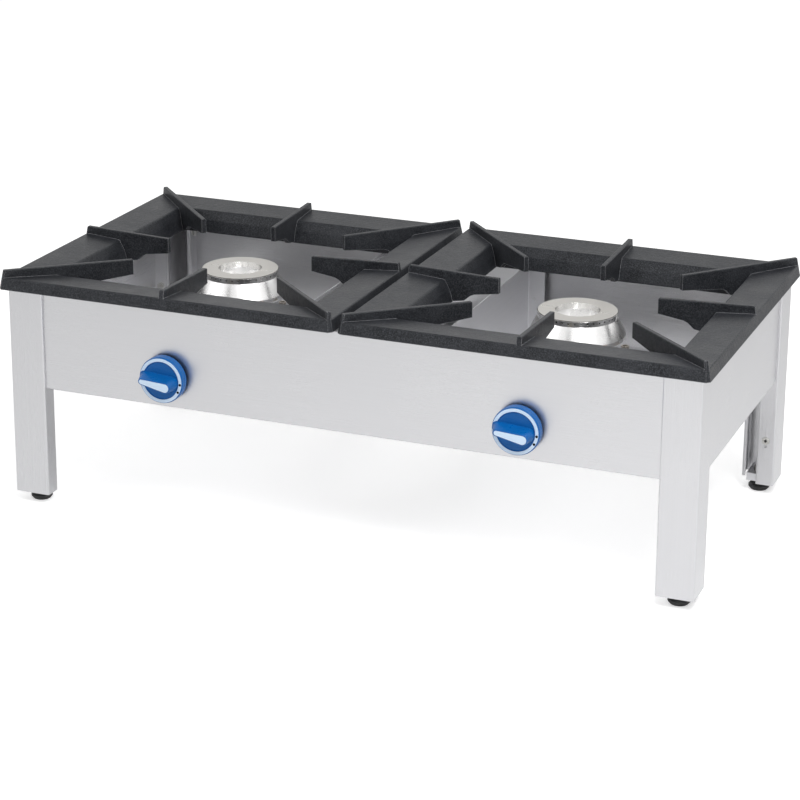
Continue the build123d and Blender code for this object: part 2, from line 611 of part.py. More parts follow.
def burner_body():
    """Bowl, throat, mixing tube and two pillars in one casting, centred on Z."""
    skirt = CAP_RADIUS + BOWL_FLARE
    skirt_z = CAP_BOTTOM - SKIRT_HEIGHT
    edge_z = skirt_z - SKIRT_EDGE
    neck = CAP_HOLE_RADIUS - NECK_TAPER
    neck_z = BOWL_BOTTOM + NECK_HEIGHT
    seat = CAP_RADIUS - BOWL_RIM
    lip, lip_z = CAP_RADIUS - CAP_RIM - SLIDE, CAP_BOTTOM + LOCATING_LIP
    floor = BOWL_BOTTOM + BOWL_WALL
    outside = [(CAP_RADIUS, CAP_BOTTOM), (skirt, skirt_z), (skirt, edge_z), (skirt - BOWL_TAPER, BOWL_BOTTOM)]
    hole = [(neck, BOWL_BOTTOM), (neck, neck_z), (CAP_HOLE_RADIUS, CAP_BOTTOM)]
    inside = [(CAP_HOLE_RADIUS + INNER_RIM, CAP_BOTTOM), (neck + INNER_RIM, neck_z), (neck + INNER_RIM, floor),
              (skirt - BOWL_TAPER - BOWL_CORNER, floor), (skirt - BOWL_WALL, edge_z + BOWL_WALL_RISE),
              (skirt - BOWL_WALL, skirt_z), (seat, CAP_BOTTOM)]
    body = turned(outside + hole + inside + [(seat, lip_z), (lip, lip_z), (lip, CAP_BOTTOM)])
    elbow, mouth = (0, -THROAT_OFFSET, TUBE_Z), (0, TUBE_MOUTH, TUBE_Z)
    body += rod(mouth, elbow, TUBE_RADIUS)
    body += Pos(*elbow) * Sphere(TUBE_RADIUS)
    body += rod(elbow, (0, -THROAT_OFFSET, BOWL_BOTTOM + OVER), TUBE_RADIUS)
    body -= drill(mouth, elbow, TUBE_BORE, blind=True)
    body -= Pos(*elbow) * Sphere(TUBE_BORE)
    body -= rod(elbow, (0, -THROAT_OFFSET, floor + OVER), TUBE_BORE)
    near = TUBE_MOUTH + WINDOW_START
    far, reach, half = near + WINDOW_LENGTH, TUBE_RADIUS + OVER, WINDOW_WIDTH / 2
    body -= block(-reach, reach, near, far, TUBE_Z - half, TUBE_Z + half)
    body -= block(-half, half, near, far, TUBE_Z - reach, TUBE_Z + reach)
    for side in (-1, 1):
        x = side * PILLAR_X
        body += rod((x, 0, BRACKET_TOP), (x, 0, BOWL_BOTTOM + OVER), PILLAR_RADIUS)
        body -= drill((x, 0, BRACKET_TOP), (x, 0, BRACKET_TOP + PILLAR_THREAD), M5_RADIUS + FIT, blind=True)
    return body


def burner_cap():
    """Hollow ring with flame ports and two shallow slots, centred on Z."""
    hole = CAP_HOLE_RADIUS
    under = CAP_TOP - CAP_WALL
    rim = CAP_RADIUS - CAP_RIM
    cap = turned([(hole, CAP_BOTTOM), (hole, CAP_TOP), (CAP_RADIUS - CAP_EDGE, CAP_TOP),
                  (CAP_RADIUS, CAP_TOP - CAP_EDGE), (CAP_RADIUS, CAP_BOTTOM), (rim, CAP_BOTTOM), (rim, under),
                  (hole + INNER_RIM, under), (hole + INNER_RIM, CAP_BOTTOM)])
    for index in range(PORT_COUNT):
        turn = Rot(0, 0, 360 * (index + 0.5) / PORT_COUNT)
        cap -= turn * drill((rim, 0, PORT_Z), (CAP_RADIUS, 0, PORT_Z), PORT_RADIUS)
    middle = (hole + CAP_RADIUS) / 2
    for side in (-1, 1):
        x = side * middle
        cap -= block(x - CAP_SLOT_LENGTH / 2, x + CAP_SLOT_LENGTH / 2, -CAP_SLOT_WIDTH / 2, CAP_SLOT_WIDTH / 2,
                     CAP_TOP - CAP_SLOT_DEPTH, CAP_TOP + OVER)
    return cap


def air_shutter():
    """Sleeve that slides on the mixing tube over its air windows."""
    start = TUBE_MOUTH + WINDOW_START + WINDOW_LENGTH / 2
    bore = TUBE_RADIUS + SLIDE
    front, back = (0, start, TUBE_Z), (0, start + SHUTTER_LENGTH, TUBE_Z)
    return rod(front, back, bore + SHUTTER_WALL) - drill(front, back, bore)


def pilot_burner():
    """Pilot nozzle with its hood, standing on the burner bracket."""
    half_x, half_y = PILOT_BASE_LENGTH / 2, PILOT_BASE_WIDTH / 2
    hood_z = PILOT_TOP - PILOT_HOOD_HEIGHT
    foot, top = (PILOT_X, PILOT_Y, BRACKET_TOP), (PILOT_X, PILOT_Y, PILOT_TOP)
    body = block(PILOT_X - half_x, PILOT_X + half_x, PILOT_Y - half_y, PILOT_Y + half_y,
                 BRACKET_TOP, BRACKET_TOP + PILOT_BASE_HEIGHT)
    body += rod(foot, (PILOT_X, PILOT_Y, hood_z + OVER), PILOT_STEM)
    body += rod((PILOT_X, PILOT_Y, hood_z), top, PILOT_HOOD)
    body -= drill(top, (PILOT_X, PILOT_Y, PILOT_TOP - PILOT_HOOD_DEPTH), PILOT_HOOD_BORE, blind=True)
    socket = (PILOT_X, PILOT_Y - PILOT_SOCKET, PILOT_PIPE_Z)
    return body + rod(socket, (PILOT_X, PILOT_Y, PILOT_PIPE_Z), PILOT_SOCKET_RADIUS)


def thermocouple():
    """Probe through the burner bracket, with its lead to the tap."""
    foot_z = BRACKET_TOP - BRACKET_DEPTH - PROBE_FOOT
    probe = rod((PROBE_X, PROBE_Y, foot_z), (PROBE_X, PROBE_Y, PROBE_TOP), PROBE_RADIUS)
    lead = pipe([(PROBE_X, PROBE_Y, foot_z + OVER), (PROBE_X, PROBE_Y, LEAD_Z), (PROBE_X, RAIL_Y, LEAD_Z),
                 (TAP_WIDTH / 2, RAIL_Y, LEAD_Z)], LEAD_RADIUS, THIN_BEND)
    return probe + lead


def bracket_holes(x):
    """Cutters for what passes through a burner bracket whose burner stands at x."""
    low, high = BRACKET_TOP - SHEET, BRACKET_TOP
    holes = drill((x + PROBE_X, PROBE_Y, low), (x + PROBE_X, PROBE_Y, high), PROBE_RADIUS + FIT)
    for side in (-1, 1):
        pillar = x + side * PILLAR_X
        holes += drill((pillar, 0, low), (pillar, 0, high), M5_HOLE)
    return holes


# ---------------------------------------------------------------- gas taps, pipes and inlet
SPINDLE_END = -INNER_Y + SPINDLE_DEPTH
SPINDLE_BORE_END = SPINDLE_END + PUSH_TRAVEL + PUSH_ROOM
PLUNGER_END = SPINDLE_END + PLUNGER_LENGTH
PLUNGER_BORE_END = PLUNGER_END + PUSH_TRAVEL + PUSH_ROOM
PILOT_OUTLET_Y = TAP_FRONT + PILOT_OUTLET_IN
PILOT_OUTLET_TOP = KNOB_Z + TAP_HEIGHT / 2 + PILOT_OUTLET_RISE
RAIL_END = BURNER_X + TAP_WIDTH
TEE_RADIUS = RAIL_RADIUS + TEE_WALL
FEED_START = RAIL_Y + RAIL_RADIUS + FEED_GAP
FEED_END = INNER_Y - FEED_GRIP
KNOB_FRONT = KNOB_FACE + KNOB_GRIP + INLAY_PROUD
INLET_END = PANEL_Y + KNOB_FRONT


def gas_tap():
    """Tap body behind the panel, centred on the knob's axis in X."""
    half, collar = TAP_WIDTH / 2, (0, -INNER_Y, KNOB_Z)
    body = block(-half, half, TAP_FRONT, TAP_REAR, KNOB_Z - TAP_HEIGHT / 2, KNOB_Z + TAP_HEIGHT / 2)
    body = chamfer(body.edges().filter_by(Axis.Y), TAP_CHAMFER)
    body += rod(collar, (0, TAP_FRONT + OVER, KNOB_Z), TAP_COLLAR)
    body += rod((0, RAIL_Y, RAIL_Z + RAIL_RADIUS - STEM_SINK), (0, RAIL_Y, KNOB_Z), TAP_STEM)
    body += rod((PILOT_OUTLET_X, PILOT_OUTLET_Y, KNOB_Z), (PILOT_OUTLET_X, PILOT_OUTLET_Y, PILOT_OUTLET_TOP),
                PILOT_OUTLET_RADIUS)
    body -= drill(collar, (0, SPINDLE_BORE_END, KNOB_Z), SPINDLE_RADIUS + FIT, blind=True)
    return body - drill((0, SPINDLE_BORE_END, KNOB_Z), (0, PLUNGER_BORE_END, KNOB_Z), PLUNGER_RADIUS + FIT,
                        blind=True)


def spindle():
    """Spindle from the tap's bore into the knob's hub."""
    return rod((0, SPINDLE_END, KNOB_Z), (0, -PANEL_Y - KNOB_FACE - HUB_DEPTH, KNOB_Z), SPINDLE_RADIUS)


def valve_plunger():
    """Pin that the spindle pushes into the tap."""
    return rod((0, SPINDLE_END, KNOB_Z), (0, PLUNGER_END, KNOB_Z), PLUNGER_RADIUS)


def outlet_pipe():
    """Bent pipe from the tap up to the injector."""
    middle = (TAP_REAR + INJECTOR_START) / 2
    return pipe([(0, TAP_REAR, KNOB_Z), (0, middle, KNOB_Z), (0, middle, TUBE_Z), (0, INJECTOR_START, TUBE_Z)],
                PIPE_RADIUS, PIPE_BEND, PIPE_BORE)


def injector():
    """Hexagonal injector whose nose stands in the mixing tube's mouth."""
    start, shoulder = (0, INJECTOR_START, TUBE_Z), (0, INJECTOR_SHOULDER, TUBE_Z)
    tip = (0, INJECTOR_TIP, TUBE_Z)
    body = hex_bar(start, shoulder, INJECTOR_RADIUS) + rod(shoulder, tip, INJECTOR_NOSE_RADIUS)
    body -= drill(start, (0, INJECTOR_SHOULDER + INJECTOR_BORE_PAST, TUBE_Z), INJECTOR_BORE, blind=True)
    return body - drill(shoulder, tip, INJECTOR_JET)


def pilot_pipe():
    """Thin pipe from the tap's pilot outlet to the pilot burner."""
    start = (PILOT_OUTLET_X, PILOT_OUTLET_Y, PILOT_OUTLET_TOP)
    end = (PILOT_X, PILOT_Y - PILOT_SOCKET, PILOT_PIPE_Z)
    under_tap = (PILOT_OUTLET_X, PILOT_OUTLET_Y, PILOT_PIPE_Z)
    corner = (PILOT_X, PILOT_OUTLET_Y, PILOT_PIPE_Z)
    return pipe([start, under_tap, corner, end], PILOT_PIPE_RADIUS, THIN_BEND)


def gas_rail():
    """Closed tube behind the front panel, with holes for the taps and the feed."""
    inside = RAIL_END - RAIL_END_WALL
    tube = rod((-RAIL_END, RAIL_Y, RAIL_Z), (RAIL_END, RAIL_Y, RAIL_Z), RAIL_RADIUS)
    tube -= rod((-inside, RAIL_Y, RAIL_Z), (inside, RAIL_Y, RAIL_Z), RAIL_BORE)
    tube -= rod((0, RAIL_Y, RAIL_Z), (0, RAIL_Y + RAIL_RADIUS + OVER, RAIL_Z), FEED_HOLE)
    for side in (-1, 1):
        x = side * BURNER_X
        tube -= rod((x, RAIL_Y, RAIL_Z), (x, RAIL_Y, RAIL_Z + RAIL_RADIUS + OVER), TAP_STEM)
    return tube


def gas_tee():
    """Tee that sleeves the rail and takes the feed pipe."""
    left, right = (-TEE_HALF, RAIL_Y, RAIL_Z), (TEE_HALF, RAIL_Y, RAIL_Z)
    middle, branch = (0, RAIL_Y, RAIL_Z), (0, RAIL_Y + TEE_BRANCH, RAIL_Z)
    tee = rod(left, right, TEE_RADIUS) + rod(middle, branch, TEE_RADIUS)
    return tee - drill(left, right, RAIL_RADIUS) - drill(branch, middle, RAIL_RADIUS, blind=True)


def feed_pipe():
    """Straight tube from the tee to the inlet connector."""
    start, end = (0, FEED_START, RAIL_Z), (0, FEED_END, RAIL_Z)
    return rod(start, end, RAIL_RADIUS) - drill(start, end, RAIL_BORE)


def inlet_connector():
    """Socket inside the rear panel and threaded nose outside it."""
    socket, wall, nose = (0, INNER_Y - INLET_SOCKET, RAIL_Z), (0, INNER_Y, RAIL_Z), (0, INLET_END, RAIL_Z)
    body = hex_bar(socket, wall, INLET_NUT_RADIUS) + rod((0, INNER_Y - OVER, RAIL_Z), nose, INLET_RADIUS)
    groove = PANEL_Y + INLET_NUT_HEIGHT
    groove_start, groove_end = (0, groove, RAIL_Z), (0, groove + INLET_GROOVE, RAIL_Z)
    body -= rod(groove_start, groove_end, INLET_RADIUS + OVER)
    body += drill(groove_start, groove_end, INLET_RADIUS - INLET_GROOVE_DEPTH)
    body -= drill(socket, (0, FEED_END, RAIL_Z), RAIL_RADIUS, blind=True)
    return body - drill((0, FEED_END, RAIL_Z), nose, INLET_BORE)


def inlet_nut():
    """Backnut outside the rear panel."""
    start, end = (0, PANEL_Y, RAIL_Z), (0, PANEL_Y + INLET_NUT_HEIGHT, RAIL_Z)
    return hex_bar(start, end, INLET_NUT_RADIUS) - drill(start, end, INLET_RADIUS + FIT)


# ---------------------------------------------------------------- knobs
def capsule(left, left_radius, right, right_radius):
    """A tapered shape with round ends, its middle line along X."""
    ends = Pos(-left, 0) * Circle(left_radius) + Pos(right, 0) * Circle(right_radius)
    return make_hull(ends.edges())


def knob_frame(x):
    """Where knobs are built: origin on the panel's face, local Z to the front, local Y up."""
    return Plane(origin=(x, -PANEL_Y, KNOB_Z), x_dir=(1, 0, 0), z_dir=(0, -1, 0))


def grip_foot(gap):
    """Outline of the grip's foot, its narrow end widened by a gap."""
    return capsule(GRIP_LEFT + GRIP_FOOT_SHIFT, GRIP_LEFT_RADIUS + GRIP_DRAFT + gap, GRIP_RIGHT,
                   GRIP_RIGHT_RADIUS + GRIP_DRAFT)


def grip_inlay():
    """Pale inlay in the top of the grip, in the knob's own frame."""
    shape = capsule(GRIP_LEFT, GRIP_LEFT_RADIUS - INLAY_MARGIN, GRIP_RIGHT, GRIP_RIGHT_RADIUS - INLAY_MARGIN)
    low = KNOB_FACE + KNOB_GRIP - INLAY_DEPTH
    return Rot(0, 0, -POINTER_ANGLE) * extrude(Pos(0, 0, low) * shape, amount=INLAY_DEPTH + INLAY_PROUD)


def ring_inlay():
    """Pale ring in the knob's face, broken by the grip, in the knob's own frame."""
    ring = Circle(RING_OUTER) - Circle(RING_INNER)
    shape = ring - Rot(0, 0, -POINTER_ANGLE) * grip_foot(GRIP_RING_GAP)
    return extrude(Pos(0, 0, KNOB_FACE - INLAY_DEPTH) * shape, amount=INLAY_DEPTH + INLAY_PROUD)


def knob():
    """Hollow skirt with its hub, and a tapered grip, in the knob's own frame."""
    under, bore = KNOB_FACE - KNOB_WALL, KNOB_RADIUS - KNOB_WALL
    step, sunk = RING_INNER - FACE_STEP, KNOB_FACE - FACE_SINK      # floor inside the ring
    body = turned([(SPINDLE_RADIUS, KNOB_GAP), (HUB_RADIUS, KNOB_GAP), (HUB_RADIUS, under), (bore, under),
                   (bore, KNOB_GAP), (KNOB_RADIUS, KNOB_GAP), (KNOB_RADIUS, KNOB_FACE - KNOB_EDGE),
                   (KNOB_FACE_RADIUS, KNOB_FACE), (step, KNOB_FACE), (step - FACE_BEVEL, sunk), (0, sunk),
                   (0, under), (SPINDLE_RADIUS, under)])
    top = capsule(GRIP_LEFT, GRIP_LEFT_RADIUS, GRIP_RIGHT, GRIP_RIGHT_RADIUS)
    low = Pos(0, 0, KNOB_FACE - GRIP_SINK) * grip_foot(0)
    high = Pos(0, 0, KNOB_FACE + KNOB_GRIP) * top
    grip = loft([low, high], ruled=True)
    grip = fillet(grip.faces().sort_by(Axis.Z)[-1].edges(), GRIP_EDGE)
    body += Rot(0, 0, -POINTER_ANGLE) * grip
    body -= Cylinder(SPINDLE_RADIUS, KNOB_FACE + HUB_DEPTH, align=(Align.CENTER, Align.CENTER, Align.MIN))
    return body - grip_inlay() - ring_inlay()


# ---------------------------------------------------------------- drip trays and runners
RUNNER_BOTTOM = PANEL_BOTTOM - RUNNER_HEIGHT
TRAY_BOTTOM = RUNNER_BOTTOM + SHEET + SLIDE
TRAY_FRONT = -TRAY_LENGTH / 2
RUNNER_END = PANEL_Y - BOTTOM_FLANGE / 3


def drip_tray():
    """Shallow open tray with a finger flange at the front, centred on Z."""
    half, end = TRAY_WIDTH / 2, -TRAY_FRONT
    top = TRAY_BOTTOM + TRAY_DEPTH
    tray = block(-half, half, TRAY_FRONT, end, TRAY_BOTTOM, top)
    half_inside = half - TRAY_SHEET
    tray -= block(-half_inside, half_inside, TRAY_FRONT + TRAY_SHEET, end - TRAY_SHEET,
                  TRAY_BOTTOM + TRAY_SHEET, top + OVER)
    return tray + block(-half, half, TRAY_FRONT - TRAY_GRIP, TRAY_FRONT + TRAY_SHEET / 2, top - TRAY_SHEET, top)


def tray_runner():
    """Channel on the tray's right side, open to the tray; its top flange reaches both panels."""
    web = TRAY_WIDTH / 2 + TRAY_SIDE_GAP + SHEET
    inner = web - RUNNER_LEDGE
    points = [(inner, PANEL_BOTTOM), (web, PANEL_BOTTOM), (web, RUNNER_BOTTOM), (inner, RUNNER_BOTTOM)]
    section = fold(points, SHEET, Side.RIGHT)
    runner = extrude(Plane.XZ.offset(-RUNNER_END) * section, amount=RUNNER_END - TRAY_FRONT)
    flange = block(inner, web - BEND_RADIUS, -RUNNER_END, TRAY_FRONT + OVER, PANEL_BOTTOM - SHEET, PANEL_BOTTOM)
    return runner + flange


# ---------------------------------------------------------------- fasteners
def bolt(start, end, radius, head_radius, head):
    """A bolt with its head outside start and its shank from start to end."""
    axis = (Vector(*end) - Vector(*start)).normalized()
    top = Vector(*start) - axis * head
    return hex_bar(tuple(top), start, head_radius) + rod(start, end, radius)


def m5_screw(start, end):
    """A small screw with its head outside start."""
    return bolt(start, end, M5_RADIUS, M5_HEAD_RADIUS, M5_HEAD)


def bolt_and_nut(flange, lip, end):
    """An M6 bolt from a panel's flange through a leg's lip, and its nut on the lip's far side."""
    axis = (Vector(*end) - Vector(*lip)).normalized()
    nut_end = tuple(Vector(*lip) + axis * M6_NUT)
    nut = hex_bar(lip, nut_end, M6_HEAD_RADIUS) - drill(lip, nut_end, M6_RADIUS + FIT)
    return bolt(flange, end, M6_RADIUS, M6_HEAD_RADIUS, M6_HEAD), nut


def corner_bolts():
    """Bolts and nuts of the front left corner, as pairs."""
    reach = LEG_WALL + M6_NUT + THREAD_PAST
    pairs = []
    for z in BOLT_HEIGHTS:
        y = -HALF_D + BOLT_IN
        pairs.append(bolt_and_nut((-SPAN_X + SHEET, y, z), (-SPAN_X - LEG_WALL, y, z), (-SPAN_X - reach, y, z)))
        x = -HALF_W + BOLT_IN
        pairs.append(bolt_and_nut((x, -SPAN_Y + SHEET, z), (x, -SPAN_Y - LEG_WALL, z), (x, -SPAN_Y - reach, z)))
    return pairs


def side_screws():
    """Small screws of the right half: baffle feet, bracket end and burner pillars."""
    screws = []
    for side in (-1, 1):
        x, y = BAFFLE_SCREW_X, side * BAFFLE_SCREW_Y
        screws.append(m5_screw((x, y, FLOOR_TOP + SHEET), (x, y, PANEL_BOTTOM - THREAD_PAST)))
        y, reach = side * BRACKET_SCREW_Y, 2 * SHEET + M5_NUT
        screws.append(m5_screw((BAFFLE_X, y, BRACKET_SCREW_Z), (BAFFLE_X + reach, y, BRACKET_SCREW_Z)))
        x = BURNER_X + side * PILLAR_X
        screws.append(m5_screw((x, 0, BRACKET_TOP - SHEET), (x, 0, BRACKET_TOP + PILLAR_THREAD - OVER)))
    return screws


# ---------------------------------------------------------------- write the nodes
inserts, brackets, stud_nuts, bolts, nuts = [], [], [], [], []
leg_shape, foot_shape = leg(), foot()
pairs = corner_bolts()
for name, corner in LEGS.items():
    keep(f"{name}_leg", to_corner(leg_shape, *corner))
    keep(f"{name}_foot", to_corner(foot_shape, *corner))
    inserts.append(to_corner(lip_insert(), *corner))
    brackets.append(to_corner(foot_bracket(), *corner))
    stud_nuts.append(to_corner(foot_nut(), *corner))
    bolts += [to_corner(bolt_shape, *corner) for bolt_shape, _ in pairs]
    nuts += [to_corner(nut_shape, *corner) for _, nut_shape in pairs]
keep("lip_inserts", *inserts)
keep("foot_brackets", *brackets)
keep("foot_nuts", *stud_nuts)
keep("panel_bolts", *bolts)
keep("panel_nuts", *nuts)

front, rear = front_panel(), mirror(front_panel(), about=Plane.XZ)
for side in SIDES.values():
    x = side * BURNER_X
    front -= drill((x, -PANEL_Y, KNOB_Z), (x, -INNER_Y, KNOB_Z), SPINDLE_RADIUS + KNOB_HOLE_GAP)
    for end in (-1, 1):
        screw_x, screw_y = side * BAFFLE_SCREW_X, end * BAFFLE_SCREW_Y
        hole = drill((screw_x, screw_y, PANEL_BOTTOM), (screw_x, screw_y, FLOOR_TOP), M5_HOLE)
        front -= hole
        rear -= hole
rear -= drill((0, INNER_Y, RAIL_Z), (0, PANEL_Y, RAIL_Z), INLET_RADIUS + INLET_HOLE_GAP)
keep("front_panel", front)
keep("rear_panel", rear)
side_panel = left_panel()
keep("left_side_panel", side_panel)
keep("right_side_panel", mirror(side_panel, about=Plane.YZ))
keep("centre_beam", centre_beam())

grate_shape = grate()
casting, cap, shutter = burner_body(), burner_cap(), air_shutter()
knob_shape = knob()
runner = tray_runner()
bracket = burner_bracket()
screws = []
for name, side in SIDES.items():
    x = side * BURNER_X
    place = Pos(x, 0, 0)
    keep(f"{name}_grate", place * grate_shape)
    keep(f"{name}_baffle", to_side(baffle(), side))
    keep(f"{name}_burner_bracket", to_side(bracket, side) - bracket_holes(x))
    keep(f"{name}_burner_body", place * casting)
    keep(f"{name}_burner_cap", place * cap)
    keep(f"{name}_air_shutter", place * shutter)
    keep(f"{name}_pilot_burner", place * pilot_burner())
    keep(f"{name}_thermocouple", place * thermocouple())
    keep(f"{name}_gas_tap", place * gas_tap())
    keep(f"{name}_valve_plunger", place * valve_plunger())
    keep(f"{name}_spindle", place * spindle())
    keep(f"{name}_outlet_pipe", place * outlet_pipe())
    keep(f"{name}_injector", place * injector())
    keep(f"{name}_pilot_pipe", place * pilot_pipe())
    keep(f"{name}_knob", knob_frame(x) * knob_shape)
    keep(f"{name}_knob_inlay", knob_frame(x) * ring_inlay(), knob_frame(x) * grip_inlay())
    keep(f"{name}_drip_tray", place * drip_tray())
    keep(f"{name}_tray_runners", place * runner, place * mirror(runner, about=Plane.YZ))
    screws += [to_side(screw, side) for screw in side_screws()]
keep("frame_screws", *screws)
keep("gas_rail", gas_rail())
keep("gas_tee", gas_tee())
keep("feed_pipe", feed_pipe())
keep("inlet_connector", inlet_connector())
keep("inlet_nut", inlet_nut())
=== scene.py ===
import json
import math
import bmesh
import bpy
from mathutils import Matrix, Vector


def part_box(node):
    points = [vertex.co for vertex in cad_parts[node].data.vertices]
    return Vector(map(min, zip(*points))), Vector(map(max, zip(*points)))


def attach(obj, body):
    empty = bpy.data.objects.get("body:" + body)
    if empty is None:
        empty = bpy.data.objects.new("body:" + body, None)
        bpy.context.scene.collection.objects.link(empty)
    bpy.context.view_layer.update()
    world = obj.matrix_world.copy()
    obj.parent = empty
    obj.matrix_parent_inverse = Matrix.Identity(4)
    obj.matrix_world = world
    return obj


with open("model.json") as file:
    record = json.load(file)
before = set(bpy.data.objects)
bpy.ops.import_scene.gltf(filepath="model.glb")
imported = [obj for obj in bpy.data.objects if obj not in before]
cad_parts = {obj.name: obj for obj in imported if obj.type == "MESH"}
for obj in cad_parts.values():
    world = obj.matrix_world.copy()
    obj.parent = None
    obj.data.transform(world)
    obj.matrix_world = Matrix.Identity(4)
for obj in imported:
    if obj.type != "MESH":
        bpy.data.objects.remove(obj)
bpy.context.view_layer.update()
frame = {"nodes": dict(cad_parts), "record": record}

# ---------------------------------------------------------------- measures, in metres
IMAGE = 800                       # pixels, the image is square
SENSOR = 36.0                     # millimetres
CAMERA_AZIMUTH = 0.379926         # radians, from the front towards the right
CAMERA_ELEVATION = 0.296587
CAMERA_ROLL = 0.0061
CAMERA_DISTANCE = 3.8921
CAMERA_TARGET = Vector((-0.01385, 0.0, 0.36384))
CAMERA_CLIP = 100.0
FOCAL_PIXELS = 2422.9
CENTRE_RIGHT = -3.43              # pixels by which the lens axis lies off the image's middle
CENTRE_DOWN = -120.0

CAP_LOW, CAP_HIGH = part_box("right_burner_cap")
BURNER_X = (CAP_LOW.x + CAP_HIGH.x) / 2
CAP_TOP = CAP_HIGH.z
CAP_RADIUS = CAP_HIGH.y           # both burners are on the y = 0 line
CAP_WALL = (CAP_RADIUS - 0.0039, CAP_RADIUS)
CAP_FACE_DEPTH = 0.0008           # the cap's slots are deeper than this
PLUNGER_LOW, PLUNGER_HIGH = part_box("left_valve_plunger")
KNOB_AXIS_Z = (PLUNGER_LOW.z + PLUNGER_HIGH.z) / 2
RING_PROUD = 0.0011               # the knob's ring stands this far off the inlay's rear
RING_FACE_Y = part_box("left_knob_inlay")[1].y - RING_PROUD
RING_RADIUS = 0.0334              # middle of the ring
DOT_RADIUS = 0.0021               # dark dots on the ring
DOT_HEIGHT = 0.0003
DOT_ANGLES = (-5.0, -28.0)        # degrees, from the right upwards
DOT_SIDES = 24
DOT_PROFILE = ((1.0, -0.5), (1.0, 0.35), (0.86, 0.8), (0.5, 1.0))   # shares of radius and height

ACROSS_GRAIN = 3600.0             # brushed lines per metre, and how much they are drawn out
ALONG_GRAIN = 16.0
COARSE_GRAIN = 0.22               # a second, coarser set, as a share of these
LATHE_RINGS = 2600.0
# dark colour of the burner port holes: soot, and painted shade inside the holes
SOOT_AND_SHADE = (0.02, 0.018, 0.016)
DUST = (0.12, 0.115, 0.11)

SKY_ON_OBJECT = 0.55              # the world's strength as light, where 1 is white
SKY_MIRRORED = (0.55, 0.85, 1.0, 0.45)    # heights that it darkens between, and its strengths there
FLOOR_REACH = 40.0
FLOOR_COLOUR = (0.86, 0.86, 0.86, 1.0)
FLOOR_SEEN = 0.53                 # added for the camera, so that all but the shadow is white
FLOOR_MIRRORED = 0.14
LAMP_AIM_HEIGHT = 0.3

MIX_FIRST, MIX_SECOND, MIX_RESULT = 6, 7, 2    # a Mix node's sockets for colours


